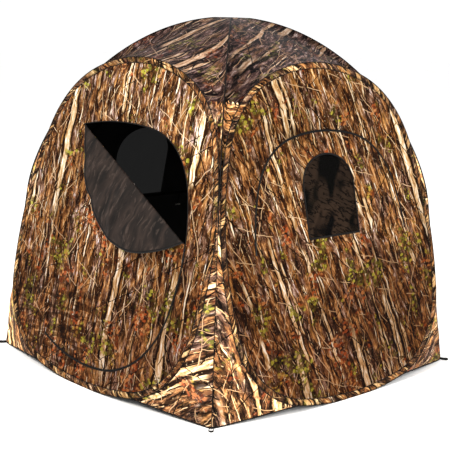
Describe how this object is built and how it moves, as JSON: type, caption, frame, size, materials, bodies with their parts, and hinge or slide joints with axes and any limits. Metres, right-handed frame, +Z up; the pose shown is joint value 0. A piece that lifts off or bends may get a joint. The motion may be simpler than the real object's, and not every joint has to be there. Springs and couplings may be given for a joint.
{
  "type": "pop up ground blind",
  "caption": "Square pop up hunting blind: four leaning camouflage walls on spring-steel hoops, zipped door, drop windows and a domed roof; folds flat.",
  "frame": {"origin": "on the ground, under the roof's apex, at the centre of the footprint", "axes": "+Z up; the door wall faces -Y; window walls face +X, +Y and -X"},
  "size_m": [1.6968, 1.6968, 1.6045],
  "materials": {
    "spring_steel": "blued spring steel band",
    "ferrule": "crimped tube",
    "sleeve_cloth": "printed coated polyester",
    "wall_cloth": "printed coated polyester, black inside",
    "roof_cloth": "printed coated polyester, black inside",
    "binding": "woven binding tape",
    "webbing": "nylon webbing",
    "mesh": "printed shoot-through mesh",
    "zip_tape": "woven tape with coil teeth",
    "zip_metal": "black enamelled zinc"
  },
  "bodies": {
    "front_panel": {"front_hoop": "spring_steel", "front_ferrule": "ferrule", "front_sleeve": "sleeve_cloth", "front_wall": "wall_cloth", "front_gussets": "wall_cloth", "front_roof_gore": "roof_cloth", "front_corner_seam": "binding", "front_stake_loop": "webbing", "door_zip": "zip_tape"},
    "right_panel": {"right_hoop": "spring_steel", "right_ferrule": "ferrule", "right_sleeve": "sleeve_cloth", "right_wall": "wall_cloth", "right_gussets": "wall_cloth", "right_roof_gore": "roof_cloth", "right_corner_seam": "binding", "right_stake_loop": "webbing", "right_window_zip": "zip_tape"},
    "back_panel": {"back_hoop": "spring_steel", "back_ferrule": "ferrule", "back_sleeve": "sleeve_cloth", "back_wall": "wall_cloth", "back_gussets": "wall_cloth", "back_roof_gore": "roof_cloth", "back_corner_seam": "binding", "back_stake_loop": "webbing", "back_window_zip": "zip_tape"},
    "left_panel": {"left_hoop": "spring_steel", "left_ferrule": "ferrule", "left_sleeve": "sleeve_cloth", "left_wall": "wall_cloth", "left_gussets": "wall_cloth", "left_roof_gore": "roof_cloth", "left_corner_seam": "binding", "left_stake_loop": "webbing", "left_window_zip": "zip_tape"},
    "right_window": {"right_window_panel": "wall_cloth", "right_window_mesh": "mesh", "right_window_panel_zip": "zip_tape"},
    "right_slider": {"right_window_slider": "zip_metal"},
    "right_pull": {"right_window_pull": "zip_metal"},
    "back_window": {"back_window_panel": "wall_cloth", "back_window_mesh": "mesh", "back_window_panel_zip": "zip_tape"},
    "back_slider": {"back_window_slider": "zip_metal"},
    "back_pull": {"back_window_pull": "zip_metal"},
    "left_window": {"left_window_panel": "wall_cloth", "left_window_mesh": "mesh", "left_window_panel_zip": "zip_tape"},
    "left_slider": {"left_window_slider": "zip_metal"},
    "left_pull": {"left_window_pull": "zip_metal"},
    "door": {"door_panel": "wall_cloth", "door_panel_zip": "zip_tape"},
    "flap": {"door_flap": "wall_cloth", "door_flap_zip": "zip_tape"},
    "door_slider": {"door_slider": "zip_metal"},
    "door_pull": {"door_pull": "zip_metal"}
  },
  "joints": [
    {"name": "frame_fold", "type": "hinge", "parent": "front_panel", "child": "right_panel", "pos_m": [0.846, -0.846, 0], "axis": [-0.2144, 0.2144, 0.9529], "range_deg": [-62, 0], "deforming": ["front_gussets", "front_roof_gore", "front_corner_seam", "right_gussets", "right_roof_gore", "right_corner_seam", "back_gussets", "back_roof_gore", "back_corner_seam", "left_gussets", "left_roof_gore", "left_corner_seam"]},
    {"name": "left_fold", "type": "hinge", "parent": "front_panel", "child": "left_panel", "pos_m": [-0.846, -0.846, 0], "axis": [0.2144, 0.2144, 0.9529], "range_deg": [-63.25, 0]},
    {"name": "back_fold", "type": "hinge", "parent": "right_panel", "child": "back_panel", "pos_m": [0.846, 0.846, 0], "axis": [-0.2144, -0.2144, 0.9529], "range_deg": [0, 63.25]},
    {"name": "door_swing", "type": "hinge", "parent": "front_panel", "child": "door", "pos_m": [-0.3245, -0.71585, 0.58572], "axis": [0, -0.2195, -0.9756], "range_deg": [0, 120]},
    {"name": "flap_fold", "type": "hinge", "parent": "door", "child": "flap", "pos_m": [-0.273, -0.60412, 1.0823], "axis": [-0.8871, 0.1013, 0.4503], "range_deg": [0, 166]},
    {"name": "door_slider_travel", "type": "hinge", "parent": "front_panel", "child": "door_slider", "pos_m": [-0.39497, -0.7089, 0.60935], "axis": [0, -0.9756, 0.2195], "range_deg": [-16.5, 14]},
    {"name": "door_pull_swing", "type": "hinge", "parent": "door_slider", "child": "door_pull", "pos_m": [0.50459, -0.70007, 0.6709], "axis": [-0.9976, -0.0151, -0.0671], "range_deg": [0, 150]},
    {"name": "right_window_drop", "type": "hinge", "parent": "right_panel", "child": "right_window", "pos_m": [0.69603, 0, 0.67382], "axis": [0, 1, 0], "range_deg": [0, 150]},
    {"name": "right_slider_travel", "type": "hinge", "parent": "right_panel", "child": "right_slider", "pos_m": [0.70409, 0.31452, 0.6307], "axis": [0.9756, 0, 0.2195], "range_deg": [-15.5, 0]},
    {"name": "right_pull_swing", "type": "hinge", "parent": "right_slider", "child": "right_pull", "pos_m": [0.69251, -0.4817, 0.70452], "axis": [-0.0205, -0.9956, 0.091], "range_deg": [0, 150]},
    {"name": "back_window_drop", "type": "hinge", "parent": "back_panel", "child": "back_window", "pos_m": [0, 0.69603, 0.67382], "axis": [-1, 0, 0], "range_deg": [0, 150]},
    {"name": "back_slider_travel", "type": "hinge", "parent": "back_panel", "child": "back_slider", "pos_m": [-0.31452, 0.70409, 0.6307], "axis": [0, 0.9756, 0.2195], "range_deg": [-15.5, 0]},
    {"name": "back_pull_swing", "type": "hinge", "parent": "back_slider", "child": "back_pull", "pos_m": [0.4817, 0.69251, 0.70452], "axis": [0.9956, -0.0205, 0.091], "range_deg": [0, 150]},
    {"name": "left_window_drop", "type": "hinge", "parent": "left_panel", "child": "left_window", "pos_m": [-0.69603, 0, 0.67382], "axis": [0, -1, 0], "range_deg": [0, 150]},
    {"name": "left_slider_travel", "type": "hinge", "parent": "left_panel", "child": "left_slider", "pos_m": [-0.70409, -0.31452, 0.6307], "axis": [-0.9756, 0, 0.2195], "range_deg": [-15.5, 0]},
    {"name": "left_pull_swing", "type": "hinge", "parent": "left_slider", "child": "left_pull", "pos_m": [-0.69251, 0.4817, 0.70452], "axis": [0.0205, 0.9956, 0.091], "range_deg": [0, 150]}
  ],
  "couplings": [
    {"joint": "left_fold", "follows": "frame_fold", "ratio": 1.02},
    {"joint": "back_fold", "follows": "frame_fold", "ratio": -1.02}
  ]
}
